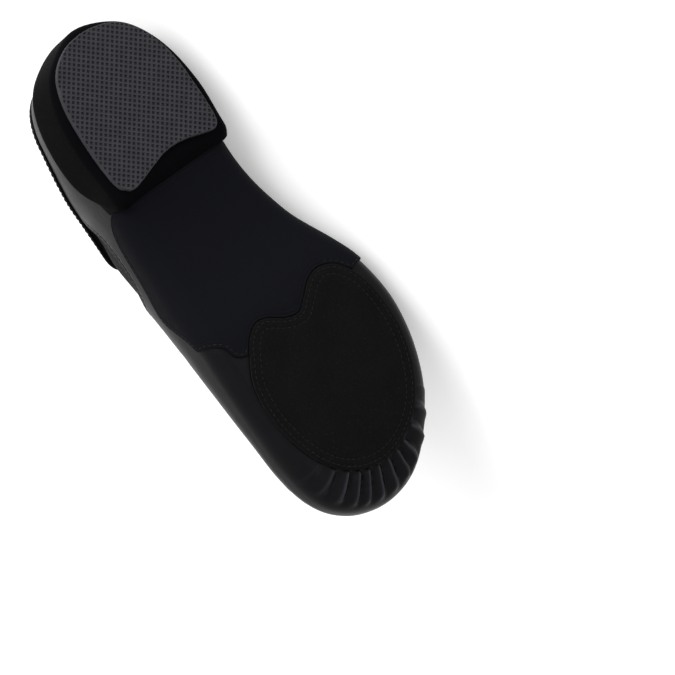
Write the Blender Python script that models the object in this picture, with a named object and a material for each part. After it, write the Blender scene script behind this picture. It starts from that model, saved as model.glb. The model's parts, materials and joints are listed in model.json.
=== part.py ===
"""A slip-on jazz shoe for the right foot, with a split sole, lying on its outer side.

The pieces are made in the shoe's own frame: x runs from the back of the heel to the toe, y to the
inner side of the foot, z up from the plane that the heel pad and the sole patch stand on. One last
gives every skin its shape: a closed form grown or shrunk along its normals, cut by flat outlines.
An empty then lays the whole shoe down on its outer side.
"""
import math

import bmesh
import bpy
from mathutils import Matrix, Vector

# Sizes of the last, in metres
LENGTH = 0.247
BALL_WIDTH = 0.0897
WAIST_WIDTH = 0.0600
HEEL_WIDTH = 0.0647
INSTEP_HEIGHT = 0.0800
COLLAR_HEIGHT = 0.0550
TOE_HEIGHT = 0.0365
TOE_SPRING = 0.0075
ARCH_RISE = 0.0135
WIDEST_HEIGHT = 0.0250
RIDGE_SHIFT = 0.0050

# Thicknesses and clearances
GAP = 0.0003
LEATHER = 0.0015
ELASTIC = 0.0010
FABRIC = 0.0008
CUP_WALL = 0.0013
HEEL_LIFT = 0.0070
PAD_THICK = 0.0025
PATCH_THICK = 0.0015
INSOLE_THICK = 0.0012
TAPE = 0.0007

# Heights and widths of the trim
CUP_HEIGHT = 0.0310
ARCH_PANEL_HEIGHT = 0.0330
TAPE_WIDTH = 0.0045
GORE_LAP = 0.0050
LASTING_MARGIN = 0.0140
UNDER_INSET = 0.0070
PAD_CHAMFER = 0.0005
INSOLE_SHARE = 0.94
HEEL_CORNER = 0.5
CROWN_CLEAR = 0.002

# Heights of the last's underside
CUP_BASE = PAD_THICK + GAP
HEEL_SEAT = CUP_BASE + HEEL_LIFT + GAP
FOREFOOT_SEAT = PATCH_THICK + GAP
SOLE_LEVEL = 0.55 * WIDEST_HEIGHT

# Weight of each piece's material, in kilograms a cubic metre, for the balance of the lying shoe
DENSITY = {
    "upper": 900,
    "gore": 300,
    "collar_binding": 300,
    "arch_panel": 300,
    "heel_cup": 300,
    "heel_pad": 1200,
    "sole_patch": 900,
    "insole": 300,
}

# How finely the last is divided
SPINE_START = 0.130
SPINE_END = 0.818
SPINE_STEPS = 18
HEEL_STEPS = 12
TOE_STEPS = 14
UNDER_ROWS = (0.0, 0.40, 0.72, 0.90, 1.0)
CORNER_STEPS = 4
CROWN_STEPS = 8
CURVE_STEPS = 3
PLAN_STEPS = 2
SHARP_ANGLE = 35
FAR = 0.5

# A hull face counts as on the outer side of the foot when its normal's y is below this
OUTER_SIDE = -0.85

# Outline of the last at its widest, from above: x share of the length, share of the named width
OUTLINE = (
    (0.010, 0.030, HEEL_WIDTH),
    (0.030, 0.240, HEEL_WIDTH),
    (0.065, 0.395, HEEL_WIDTH),
    (0.125, 0.490, HEEL_WIDTH),
    (0.205, 0.520, HEEL_WIDTH),
    (0.285, 0.545, WAIST_WIDTH),
    (0.365, 0.545, WAIST_WIDTH),
    (0.445, 0.570, WAIST_WIDTH),
    (0.525, 0.430, BALL_WIDTH),
    (0.605, 0.464, BALL_WIDTH),
    (0.690, 0.478, BALL_WIDTH),
    (0.770, 0.482, BALL_WIDTH),
    (0.845, 0.478, BALL_WIDTH),
    (0.905, 0.446, BALL_WIDTH),
    (0.950, 0.382, BALL_WIDTH),
    (0.980, 0.285, BALL_WIDTH),
    (0.996, 0.168, BALL_WIDTH),
    (1.000, 0.060, BALL_WIDTH),
    (0.992, -0.055, BALL_WIDTH),
    (0.973, -0.155, BALL_WIDTH),
    (0.939, -0.262, BALL_WIDTH),
    (0.890, -0.370, BALL_WIDTH),
    (0.834, -0.452, BALL_WIDTH),
    (0.772, -0.512, BALL_WIDTH),
    (0.705, -0.538, BALL_WIDTH),
    (0.635, -0.518, BALL_WIDTH),
    (0.565, -0.464, BALL_WIDTH),
    (0.490, -0.600, WAIST_WIDTH),
    (0.420, -0.545, WAIST_WIDTH),
    (0.350, -0.508, WAIST_WIDTH),
    (0.285, -0.494, WAIST_WIDTH),
    (0.205, -0.482, HEEL_WIDTH),
    (0.125, -0.448, HEEL_WIDTH),
    (0.065, -0.350, HEEL_WIDTH),
    (0.030, -0.205, HEEL_WIDTH),
)

# Height of the last's underside: x share of the length, height
UNDERSIDE = (
    (0.00, HEEL_SEAT),
    (0.27, HEEL_SEAT),
    (0.40, ARCH_RISE),
    (0.47, 0.85 * ARCH_RISE),
    (0.62, FOREFOOT_SEAT),
    (0.83, FOREFOOT_SEAT),
    (0.93, FOREFOOT_SEAT + 0.45 * TOE_SPRING),
    (1.00, FOREFOOT_SEAT + TOE_SPRING),
)

# Flank in front of the heel pad, as shares of the length: where it starts on the centre line, how
# much further forward it starts at the sides, and where it ends
FLANK_START = 0.276
FLANK_SWEEP = 0.022
FLANK_END = 0.326

# Ridge of the last, as a height over the plane: x share of the length, height
RIDGE = (
    (0.00, 0.84 * INSTEP_HEIGHT),
    (0.13, 0.84 * INSTEP_HEIGHT),
    (0.20, 0.93 * INSTEP_HEIGHT),
    (0.27, 1.00 * INSTEP_HEIGHT),
    (0.36, 1.01 * INSTEP_HEIGHT),
    (0.43, 0.91 * INSTEP_HEIGHT),
    (0.51, 0.725 * INSTEP_HEIGHT),
    (0.61, 1.29 * TOE_HEIGHT),
    (0.71, 1.12 * TOE_HEIGHT),
    (0.83, TOE_HEIGHT),
    (1.00, TOE_HEIGHT),
)

# How far the ridge leans to the inner side: x share of the length, share of RIDGE_SHIFT
RIDGE_LEAN = (
    (0.15, 0.0),
    (0.45, 1.0),
)

# Shape of a half section: x share of the length, inset of the under edge and height of the lower
# corner as shares of the widest height, height at the widest, power of the crown's curve
SECTION = (
    (0.00, 0.18, 0.30, 1.00 * WIDEST_HEIGHT, 1.6),
    (0.25, 0.20, 0.34, 1.00 * WIDEST_HEIGHT, 1.7),
    (0.36, 0.32, 0.50, 1.04 * WIDEST_HEIGHT, 2.2),
    (0.48, 0.32, 0.50, 0.94 * WIDEST_HEIGHT, 2.4),
    (0.62, 0.28, 0.40, 0.72 * WIDEST_HEIGHT, 2.2),
    (0.80, 0.30, 0.42, 0.64 * WIDEST_HEIGHT, 2.1),
    (1.00, 0.36, 0.40, 0.72 * WIDEST_HEIGHT, 2.0),
)

# Lines drawn on the side of the shoe: x share of the length, height
TOPLINE = (
    (-0.08, COLLAR_HEIGHT),
    (0.01, COLLAR_HEIGHT),
    (0.06, 0.98 * COLLAR_HEIGHT),
    (0.12, 0.94 * COLLAR_HEIGHT),
    (0.18, 0.955 * COLLAR_HEIGHT),
    (0.24, 0.745 * INSTEP_HEIGHT),
    (0.30, 0.835 * INSTEP_HEIGHT),
    (0.355, 0.925 * INSTEP_HEIGHT),
    (0.40, 1.04 * INSTEP_HEIGHT),
)
GORE_EDGE = (
    (0.272, 0.765 * INSTEP_HEIGHT),
    (0.295, 0.70 * INSTEP_HEIGHT),
    (0.330, 0.60 * INSTEP_HEIGHT),
    (0.390, 0.56 * INSTEP_HEIGHT),
    (0.440, 0.57 * INSTEP_HEIGHT),
    (0.475, 0.62 * INSTEP_HEIGHT),
    (0.498, 0.72 * INSTEP_HEIGHT),
    (0.510, 0.90 * INSTEP_HEIGHT),
)
CUP_EDGE = (
    (-0.08, CUP_HEIGHT),
    (0.11, CUP_HEIGHT),
    (0.19, 1.02 * CUP_HEIGHT),
    (0.24, 0.95 * CUP_HEIGHT),
    (0.275, 0.73 * CUP_HEIGHT),
    (0.292, 0.52 * CUP_HEIGHT),
    (0.308, 0.34 * CUP_HEIGHT),
    (0.322, 0.10 * CUP_HEIGHT),
)
ARCH_EDGE = (
    (0.300, 0.47 * ARCH_PANEL_HEIGHT),
    (0.316, 0.74 * ARCH_PANEL_HEIGHT),
    (0.345, 0.93 * ARCH_PANEL_HEIGHT),
    (0.395, 1.01 * ARCH_PANEL_HEIGHT),
    (0.470, 1.00 * ARCH_PANEL_HEIGHT),
    (0.512, 0.90 * ARCH_PANEL_HEIGHT),
    (0.545, 0.66 * ARCH_PANEL_HEIGHT),
    (0.572, 0.46 * ARCH_PANEL_HEIGHT),
    (0.600, 0.36 * ARCH_PANEL_HEIGHT),
    (0.660, 0.34 * ARCH_PANEL_HEIGHT),
)

# Lines drawn on the sole, seen from below: x share of the length, share of the named width
ARCH_FRONT = (
    (0.570, 0.60, BALL_WIDTH),
    (0.590, 0.47, BALL_WIDTH),
    (0.611, 0.40, BALL_WIDTH),
    (0.650, 0.29, BALL_WIDTH),
    (0.650, -0.35, BALL_WIDTH),
    (0.630, -0.42, BALL_WIDTH),
    (0.622, -0.60, BALL_WIDTH),
)
PATCH = (
    (0.652, 0.315, BALL_WIDTH),
    (0.628, 0.265, BALL_WIDTH),
    (0.611, 0.195, BALL_WIDTH),
    (0.613, 0.125, BALL_WIDTH),
    (0.632, 0.040, BALL_WIDTH),
    (0.638, -0.040, BALL_WIDTH),
    (0.622, -0.105, BALL_WIDTH),
    (0.600, -0.190, BALL_WIDTH),
    (0.594, -0.270, BALL_WIDTH),
    (0.608, -0.355, BALL_WIDTH),
    (0.650, -0.425, BALL_WIDTH),
    (0.710, -0.446, BALL_WIDTH),
    (0.770, -0.428, BALL_WIDTH),
    (0.830, -0.368, BALL_WIDTH),
    (0.885, -0.265, BALL_WIDTH),
    (0.920, -0.130, BALL_WIDTH),
    (0.934, 0.010, BALL_WIDTH),
    (0.928, 0.140, BALL_WIDTH),
    (0.905, 0.255, BALL_WIDTH),
    (0.865, 0.345, BALL_WIDTH),
    (0.810, 0.398, BALL_WIDTH),
    (0.750, 0.412, BALL_WIDTH),
    (0.695, 0.385, BALL_WIDTH),
)
PAD = (
    (0.018, 0.080, HEEL_WIDTH),
    (0.028, 0.235, HEEL_WIDTH),
    (0.058, 0.380, HEEL_WIDTH),
    (0.110, 0.463, HEEL_WIDTH),
    (0.180, 0.496, HEEL_WIDTH),
    (0.245, 0.498, HEEL_WIDTH),
    (0.280, 0.470, HEEL_WIDTH),
    (0.294, 0.400, HEEL_WIDTH),
    (0.287, 0.300, HEEL_WIDTH),
    (0.275, 0.180, HEEL_WIDTH),
    (0.267, 0.060, HEEL_WIDTH),
    (0.267, -0.060, HEEL_WIDTH),
    (0.274, -0.170, HEEL_WIDTH),
    (0.285, -0.280, HEEL_WIDTH),
    (0.288, -0.360, HEEL_WIDTH),
    (0.270, -0.408, HEEL_WIDTH),
    (0.205, -0.426, HEEL_WIDTH),
    (0.140, -0.422, HEEL_WIDTH),
    (0.080, -0.360, HEEL_WIDTH),
    (0.040, -0.240, HEEL_WIDTH),
    (0.022, -0.085, HEEL_WIDTH),
)


def clear_scene():
    for item in list(bpy.data.objects):
        bpy.data.objects.remove(item, do_unlink=True)


def blend(rows, x, column=1):
    """Value of a table's column at x, on a smooth curve that stays level between equal rows."""
    xs = [row[0] for row in rows]
    ys = [row[column] for row in rows]
    if x <= xs[0]:
        return ys[0]
    if x >= xs[-1]:
        return ys[-1]
    slopes = [(ys[i + 1] - ys[i]) / (xs[i + 1] - xs[i]) for i in range(len(xs) - 1)]
    tangents = [0.0] * len(xs)
    for i in range(1, len(xs) - 1):
        before, after = slopes[i - 1], slopes[i]
        if before * after > 0.0:
            tangents[i] = 2.0 * before * after / (before + after)
    i = max(k for k in range(len(xs) - 1) if xs[k] <= x)
    step = xs[i + 1] - xs[i]
    t = (x - xs[i]) / step
    start = ys[i] * (1 + 2 * t) * (1 - t) ** 2 + tangents[i] * step * t * (1 - t) ** 2
    end = ys[i + 1] * t * t * (3 - 2 * t) + tangents[i + 1] * step * t * t * (t - 1)
    return start + end


def rounded(points, steps, closed):
    """Points on a smooth curve through the given ones."""
    count = len(points)
    curve = []
    for i in range(count if closed else count - 1):
        around = [i - 1, i, i + 1, i + 2]
        if closed:
            a, b, c, d = (points[k % count] for k in around)
        else:
            a, b, c, d = (points[min(max(k, 0), count - 1)] for k in around)
        for step in range(steps):
            t = step / steps
            bend = 2 * a - 5 * b + 4 * c - d + t * (3 * (b - c) + d - a)
            curve.append(b + 0.5 * t * (c - a + t * bend))
    if not closed:
        curve.append(points[-1])
    return curve


def plan_points(rows):
    return [Vector((x * LENGTH, share * width)) for x, share, width in rows]


def side_line(rows):
    return rounded([Vector((x * LENGTH, height)) for x, height in rows], CURVE_STEPS, False)


def grown(points, distance):
    """A closed outline moved outwards."""
    count = len(points)
    area = sum(points[i - 1].x * points[i].y - points[i].x * points[i - 1].y for i in range(count))
    side = 1.0 if area > 0 else -1.0
    moved = []
    for i, point in enumerate(points):
        along = (points[(i + 1) % count] - points[i - 1]).normalized()
        moved.append(point + side * distance * Vector((along.y, -along.x)))
    return moved


def lowered(line, distance):
    """A line on the side of the shoe moved down, square to itself."""
    moved = []
    for i, point in enumerate(line):
        along = (line[min(i + 1, len(line) - 1)] - line[max(i - 1, 0)]).normalized()
        moved.append(point + distance * Vector((along.y, -along.x)))
    return moved


def above(line):
    return line + [Vector((line[-1].x, FAR)), Vector((line[0].x, FAR))]


def below(line):
    return line + [Vector((line[-1].x, -FAR)), Vector((line[0].x, -FAR))]


def behind(line):
    return line + [Vector((-FAR, line[-1].y)), Vector((-FAR, line[0].y))]


OUTLINE_CURVE = rounded(plan_points(OUTLINE), 8, True)


def reach(centre, angle):
    """Distance from a point of the spine to the outline of the last."""
    ray = Vector((math.cos(angle), math.sin(angle)))
    best = 0.0
    for i, end in enumerate(OUTLINE_CURVE):
        start = OUTLINE_CURVE[i - 1]
        edge = end - start
        cross = ray.x * edge.y - ray.y * edge.x
        if abs(cross) < 1e-12:
            continue
        offset = start - centre
        far = (offset.x * edge.y - offset.y * edge.x) / cross
        share = (offset.x * ray.y - offset.y * ray.x) / cross
        if 0.0 <= share <= 1.0 and far > best:
            best = far
    return best


def columns(fineness):
    """Spine point and direction of each half section, once round the shoe."""
    start, end = SPINE_START * LENGTH, SPINE_END * LENGTH
    steps, toe_steps, heel_steps = (fineness * count for count in (SPINE_STEPS, TOE_STEPS, HEEL_STEPS))
    along = [start + (end - start) * i / steps for i in range(steps + 1)]
    inner = [(x, math.pi / 2) for x in along]
    toe = [(end, math.pi / 2 - math.pi * i / toe_steps) for i in range(1, toe_steps)]
    outer = [(x, -math.pi / 2) for x in reversed(along)]
    heel = [(start, -math.pi / 2 - math.pi * i / heel_steps) for i in range(1, heel_steps)]
    return inner + toe + outer + heel


def last_underside(x, y):
    return blend(UNDERSIDE, x / LENGTH)


def heel_underside(x, y):
    """Level over the heel pad, then a flank that climbs to the arch behind a swept front edge."""
    level = CUP_BASE + GAP + CUP_WALL
    start = FLANK_START + FLANK_SWEEP * (2 * y / HEEL_WIDTH) ** 2
    t = min(max((x / LENGTH - start) / (FLANK_END - start), 0.0), 1.0)
    return level + (blend(UNDERSIDE, FLANK_END) + GAP - level) * t * t * (3 - 2 * t)


def under_edge(spine_x, angle):
    """Width of a half section at its widest, and how far its flat underside is set in."""
    width = reach(Vector((spine_x, 0.0)), angle)
    share = (spine_x + width * math.cos(angle)) / LENGTH
    return width, blend(SECTION, share, 1) * WIDEST_HEIGHT, share


def half_section(spine_x, angle, underside):
    """Points of one half section, from the spine under the foot, round the side, to the ridge."""
    ray = Vector((math.cos(angle), math.sin(angle), 0.0))
    width, inset, share = under_edge(spine_x, angle)
    corner = blend(SECTION, share, 2) * WIDEST_HEIGHT
    if underside is heel_underside:
        inset *= HEEL_CORNER
        corner *= HEEL_CORNER
    power = 2.0 / blend(SECTION, share, 4)
    top = blend(RIDGE, spine_x / LENGTH)
    shift = RIDGE_SHIFT * blend(RIDGE_LEAN, spine_x / LENGTH)
    points = []
    for row in UNDER_ROWS:
        spot = Vector((spine_x, 0.0, 0.0)) + ray * (width - inset) * row
        spot.z = underside(spot.x, spot.y)
        points.append(spot)
    base = points[-1].z
    for i in range(1, CORNER_STEPS + 1):
        turn = math.pi / 2 * i / CORNER_STEPS
        spot = Vector((spine_x, 0.0, base + corner * (1 - math.cos(turn))))
        points.append(spot + ray * (width - inset + inset * math.sin(turn)))
    widest = max(blend(SECTION, share, 3), base + corner + CROWN_CLEAR)
    for i in range(CROWN_STEPS + 1):
        turn = math.pi / 2 * i / CROWN_STEPS
        lift = math.sin(turn) ** power
        out = width * math.cos(turn) ** power if i < CROWN_STEPS else 0.0
        spot = Vector((spine_x, shift * lift * lift, widest + (top - widest) * lift))
        points.append(spot + ray * out)
    return points


def mesh_from(name, bm):
    bmesh.ops.recalc_face_normals(bm, faces=bm.faces)
    mesh = bpy.data.meshes.new(name)
    bm.to_mesh(mesh)
    bm.free()
    return mesh


def skin(grid):
    """Faces between neighbouring half sections, with the points that they share joined."""
    bm = bmesh.new()
    rows = [[bm.verts.new(point) for point in points] for points in grid]
    for i, right in enumerate(rows):
        left = rows[i - 1]
        for j in range(len(right) - 1):
            bm.faces.new((left[j], left[j + 1], right[j + 1], right[j]))
    bmesh.ops.remove_doubles(bm, verts=bm.verts, dist=1e-6)
    bmesh.ops.recalc_face_normals(bm, faces=bm.faces)
    bm.normal_update()
    return bm


def last_mesh(name, offset, underside=last_underside, fineness=1):
    """The closed form of the last, moved out along its normals by the offset."""
    bm = skin([half_section(x, angle, underside) for x, angle in columns(fineness)])
    normals = [vert.normal.copy() for vert in bm.verts]
    for vert, normal in zip(bm.verts, normals):
        vert.co += normal * offset
    return mesh_from(name, bm)


def loops_mesh(name, loops):
    """A solid between stacked loops of equal count, closed by a flat face at each end."""
    bm = bmesh.new()
    rings = [[bm.verts.new(point) for point in loop] for loop in loops]
    for low, high in zip(rings, rings[1:]):
        for i in range(len(low)):
            bm.faces.new((low[i - 1], low[i], high[i], high[i - 1]))
    bm.faces.new(rings[0])
    bm.faces.new(rings[-1])
    return mesh_from(name, bm)


def side_prism(name, outline):
    """An outline drawn on the side of the shoe, run right across it."""
    return loops_mesh(name, [[Vector((p.x, y, p.y)) for p in outline] for y in (-FAR, FAR)])


def plan_prism(name, outline, top):
    """An outline drawn on the sole, run from far below up to a level."""
    return loops_mesh(name, [[Vector((p.x, p.y, z)) for p in outline] for z in (-FAR, top)])


def add_object(name, mesh, parent):
    item = bpy.data.objects.new(name, mesh)
    bpy.context.scene.collection.objects.link(item)
    item.parent = parent
    return item


def guide(mesh, parent):
    """A form that only cuts others."""
    item = add_object(mesh.name, mesh, parent)
    item.hide_render = True
    item.display_type = "WIRE"
    return item


def cut(item, operation, *tools):
    for tool in tools:
        modifier = item.modifiers.new(tool.name, "BOOLEAN")
        modifier.operation = operation
        modifier.solver = "EXACT"
        modifier.object = tool


def material(name, color, roughness):
    finish = bpy.data.materials.new(name)
    finish.use_nodes = True
    shader = finish.node_tree.nodes["Principled BSDF"]
    shader.inputs["Base Color"].default_value = (*color, 1.0)
    shader.inputs["Roughness"].default_value = roughness
    shader.inputs["Metallic"].default_value = 0.0
    return finish


def piece(mesh, parent, finish):
    item = add_object(mesh.name, mesh, parent)
    mesh.materials.append(finish)
    mesh.shade_smooth()
    mesh.set_sharp_from_angle(angle=math.radians(SHARP_ANGLE))
    return item


def throat_line():
    """Top edge of the leather: the topline back of the gore, then the gore's own edge."""
    front = GORE_EDGE[0][0] * LENGTH - GAP
    return [point for point in side_line(TOPLINE) if point.x < front] + side_line(GORE_EDGE)


def make_upper(parent, inside):
    """Leather shell, open above and, inside the lasting margin, below."""
    item = piece(last_mesh("upper", 0.0), parent, material("leather", (0.022, 0.021, 0.024), 0.38))
    collar = guide(side_prism("collar_cut", above(throat_line())), parent)
    outline = grown(rounded(plan_points(OUTLINE), PLAN_STEPS, True), -LASTING_MARGIN - UNDER_INSET)
    window = guide(plan_prism("window_cut", outline, WIDEST_HEIGHT), parent)
    cut(item, "DIFFERENCE", collar, window, inside)
    return item


def make_gore(parent):
    """Elastic under the throat edge of the leather, up to the topline."""
    outside = -LEATHER - GAP
    item = piece(last_mesh("gore", outside), parent, material("elastic", (0.012, 0.012, 0.014), 0.8))
    inside = guide(last_mesh("gore_inside", outside - ELASTIC), parent)
    area = guide(side_prism("gore_area", above(lowered(side_line(GORE_EDGE), GORE_LAP))), parent)
    opening = guide(side_prism("gore_top", above(side_line(TOPLINE))), parent)
    cut(item, "INTERSECT", area)
    cut(item, "DIFFERENCE", opening, inside)
    return item


def make_binding(parent):
    """Tape folded over the edge of the foot opening, as a channel with the edge inside it."""
    outer_wall = GAP
    inner_wall = -LEATHER - GAP - ELASTIC - GAP
    topline = side_line(TOPLINE)
    band = lowered(topline, TAPE_WIDTH) + list(reversed(lowered(topline, -GAP - TAPE)))
    item = piece(last_mesh("collar_binding", outer_wall + TAPE), parent,
                 material("tape", (0.014, 0.014, 0.016), 0.6))
    channel = guide(last_mesh("binding_channel", outer_wall), parent)
    core = guide(last_mesh("binding_core", inner_wall), parent)
    hollow = guide(last_mesh("binding_hollow", inner_wall - TAPE), parent)
    strip = guide(side_prism("binding_band", band), parent)
    crest = guide(side_prism("binding_crest", above(lowered(topline, -GAP))), parent)
    cut(channel, "DIFFERENCE", crest, core)
    cut(item, "INTERSECT", strip)
    cut(item, "DIFFERENCE", hollow, channel)
    return item


def make_arch_panel(parent, around):
    """Stretch fabric that wraps the arch, between the heel cup and the sole patch."""
    item = piece(last_mesh("arch_panel", GAP + FABRIC), parent,
                 material("stretch_fabric", (0.013, 0.013, 0.018), 0.85))
    sides = guide(side_prism("arch_sides", below(side_line(ARCH_EDGE))), parent)
    front = rounded(plan_points(ARCH_FRONT), PLAN_STEPS, False)
    seam = guide(plan_prism("arch_seam", behind(front), FAR), parent)
    patch = grown(rounded(plan_points(PATCH), CURVE_STEPS, True), GAP)
    notch = guide(plan_prism("arch_notch", patch, SOLE_LEVEL), parent)
    cup = guide(side_prism("arch_heel", below(lowered(side_line(CUP_EDGE), -GAP))), parent)
    cut(item, "INTERSECT", sides, seam)
    cut(item, "DIFFERENCE", notch, cup, around)
    return item


def make_heel_cup(parent, around):
    """Low heel block and the band that rises from it round the back of the foot."""
    form = last_mesh("heel_cup", GAP + CUP_WALL, heel_underside, 2)
    item = piece(form, parent, material("heel_fabric", (0.016, 0.015, 0.017), 0.75))
    area = guide(side_prism("cup_area", below(side_line(CUP_EDGE))), parent)
    cut(item, "INTERSECT", area)
    cut(item, "DIFFERENCE", around)
    return item


def make_heel_pad(parent):
    """Rubber tread piece, level on the ground, with a small chamfer round its foot."""
    outline = rounded(plan_points(PAD), PLAN_STEPS, True)
    stack = ((grown(outline, -PAD_CHAMFER), 0.0), (outline, PAD_CHAMFER), (outline, PAD_THICK))
    loops = [[Vector((p.x, p.y, z)) for p in loop] for loop, z in stack]
    return piece(loops_mesh("heel_pad", loops), parent, material("rubber", (0.034, 0.033, 0.039), 0.6))


def make_sole_patch(parent, around):
    """Suede forefoot sole, with its heart-shaped rear edge; its middle is level on the ground."""
    item = piece(last_mesh("sole_patch", GAP + PATCH_THICK), parent,
                 material("suede", (0.009, 0.009, 0.010), 0.95))
    outline = rounded(plan_points(PATCH), CURVE_STEPS, True)
    area = guide(plan_prism("patch_area", outline, SOLE_LEVEL), parent)
    cut(item, "INTERSECT", area)
    cut(item, "DIFFERENCE", around)
    return item


def make_insole(parent):
    """Thin sheet that lies on the lasting margin, inside the upper."""
    lift = Vector((0.0, 0.0, LEATHER + GAP))
    grid = []
    for x, angle in columns(1):
        width, inset, share = under_edge(x, angle)
        ray = Vector((math.cos(angle), math.sin(angle), 0.0))
        points = [Vector((x, 0.0, 0.0)) + ray * (width - inset) * INSOLE_SHARE * row for row in UNDER_ROWS]
        grid.append([Vector((p.x, p.y, last_underside(p.x, p.y))) + lift for p in points])
    bm = skin(grid)
    bmesh.ops.solidify(bm, geom=bm.faces, thickness=INSOLE_THICK)
    return piece(mesh_from("insole", bm), parent, material("lining", (0.05, 0.048, 0.05), 0.9))


def evaluated(items):
    """The finished corners of all the pieces, and their common centre of weight."""
    graph = bpy.context.evaluated_depsgraph_get()
    corners, weight, moment = [], 0.0, Vector()
    for item in items:
        source = item.evaluated_get(graph)
        mesh = source.to_mesh()
        mesh.calc_loop_triangles()
        corners += [vert.co.copy() for vert in mesh.vertices]
        for triangle in mesh.loop_triangles:
            a, b, c = (mesh.vertices[k].co for k in triangle.vertices)
            part = DENSITY[item.name] * a.dot(b.cross(c)) / 6.0
            weight += part
            moment += part * (a + b + c) / 4.0
        source.to_mesh_clear()
    return corners, moment / weight


def resting_normal(corners, centre):
    """Outward normal of the hull face, on the outer side of the foot, that lies nearest the centre
    of weight: on that face the shoe lies lowest, so it stays there."""
    bm = bmesh.new()
    for corner in corners:
        bm.verts.new(corner)
    hull = bmesh.ops.convex_hull(bm, input=bm.verts)
    lowest, found = FAR, None
    for face in hull["geom"]:
        if not isinstance(face, bmesh.types.BMFace):
            continue
        a, b, c = (vert.co for vert in face.verts[:3])
        normal = (b - a).cross(c - a).normalized()
        height = normal.dot(a - centre)
        if height < 0.0:
            normal.negate()
            height = -height
        if normal.y < OUTER_SIDE and height < lowest:
            lowest, found = height, normal.copy()
    bm.free()
    return found


def lay_down(shoe, items):
    """Turns the shoe onto its outer side, toe to -X, and centres it over the origin."""
    corners, centre = evaluated(items)
    upright = Matrix(((-1, 0, 0), (0, 0, 1), (0, 1, 0))).to_quaternion()
    down = upright @ resting_normal(corners, centre)
    turn = down.rotation_difference(Vector((0.0, 0.0, -1.0))) @ upright
    placed = [turn @ corner for corner in corners]
    low = Vector([min(corner[k] for corner in placed) for k in range(3)])
    high = Vector([max(corner[k] for corner in placed) for k in range(3)])
    shoe.rotation_mode = "QUATERNION"
    shoe.rotation_quaternion = turn
    shoe.location = Vector((-(low.x + high.x) / 2, -(low.y + high.y) / 2, -low.z))


def main():
    clear_scene()
    shoe = bpy.data.objects.new("shoe", None)
    bpy.context.scene.collection.objects.link(shoe)
    inside = guide(last_mesh("upper_inside", -LEATHER), shoe)
    around = guide(last_mesh("upper_around", GAP), shoe)
    items = [
        make_upper(shoe, inside),
        make_gore(shoe),
        make_binding(shoe),
        make_arch_panel(shoe, around),
        make_heel_cup(shoe, around),
        make_heel_pad(shoe),
        make_sole_patch(shoe, around),
        make_insole(shoe),
    ]
    lay_down(shoe, items)


main()
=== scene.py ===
"""Looks of a black slip-on jazz shoe for the right foot, which lies on its outer side.

Every piece is made in the shoe's own frame: x runs from the back of the heel to the toe, y to the
inner side of the foot, z up from the plane of the sole. The last is one fine closed form. Each
piece is a part of it between two skins, cut along lines drawn on the side or on the sole.
"""
import json
import math

import bmesh
import bpy
import numpy as np
from mathutils import Matrix, Vector


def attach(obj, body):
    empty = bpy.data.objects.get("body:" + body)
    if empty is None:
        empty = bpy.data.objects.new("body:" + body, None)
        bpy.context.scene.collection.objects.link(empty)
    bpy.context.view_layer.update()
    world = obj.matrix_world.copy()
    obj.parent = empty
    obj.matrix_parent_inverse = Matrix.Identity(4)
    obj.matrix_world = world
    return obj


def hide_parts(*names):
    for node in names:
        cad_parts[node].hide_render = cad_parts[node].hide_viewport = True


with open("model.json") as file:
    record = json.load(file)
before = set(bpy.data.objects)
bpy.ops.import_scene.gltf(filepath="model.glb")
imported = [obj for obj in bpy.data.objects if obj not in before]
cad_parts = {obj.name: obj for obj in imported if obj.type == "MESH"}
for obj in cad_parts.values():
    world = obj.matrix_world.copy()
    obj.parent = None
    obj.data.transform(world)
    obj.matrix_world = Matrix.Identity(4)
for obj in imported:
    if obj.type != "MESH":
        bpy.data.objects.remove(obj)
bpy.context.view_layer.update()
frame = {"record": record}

# Sizes of the last, in metres
LENGTH = 0.247
BALL_WIDTH = 0.0897
WAIST_WIDTH = 0.0600
HEEL_WIDTH = 0.0647
INSTEP_HEIGHT = 0.0800
COLLAR_HEIGHT = 0.0550
TOE_HEIGHT = 0.0365
TOE_SPRING = 0.0075
ARCH_RISE = 0.0135
WIDEST_HEIGHT = 0.0250
RIDGE_SHIFT = 0.0050

# Thicknesses and clearances
GAP = 0.0003
LEATHER = 0.0015
ELASTIC = 0.0010
FABRIC = 0.0008
CUP_WALL = 0.0013
HEEL_LIFT = 0.0070
PAD_THICK = 0.0025
PATCH_THICK = 0.0015
INSOLE_THICK = 0.0012
TAPE = 0.0007

# Heights and widths of the trim
CUP_HEIGHT = 0.0310
ARCH_PANEL_HEIGHT = 0.0330
TAPE_WIDTH = 0.0045
GORE_LAP = 0.0050
LASTING_MARGIN = 0.0140
UNDER_INSET = 0.0070
INSOLE_SHARE = 0.94
HEEL_CORNER = 0.5
CROWN_CLEAR = 0.002

# Heights of the last's underside
CUP_BASE = PAD_THICK + GAP
HEEL_SEAT = CUP_BASE + HEEL_LIFT + GAP
FOREFOOT_SEAT = PATCH_THICK + GAP
SOLE_LEVEL = 0.55 * WIDEST_HEIGHT

# Places of the two faces that the shoe stands on, in its own frame: x share of the length, y
HEEL_REST = (0.15, 0.002)
FOREFOOT_REST = (0.76, 0.0)

# How finely the last is divided
SPINE_START = 0.130
SPINE_END = 0.818
SPINE_STEPS = 122
HEEL_STEPS = 72
TOE_STEPS = 264
UNDER_STEPS = 36
CORNER_STEPS = 11
CROWN_STEPS = 48
INSOLE_STEPS = 14
CURVE_STEPS = 6
SMALL = 1e-7
SNAP = 8e-5
FAR = 0.5
SHARP_ANGLE = 50

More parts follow.
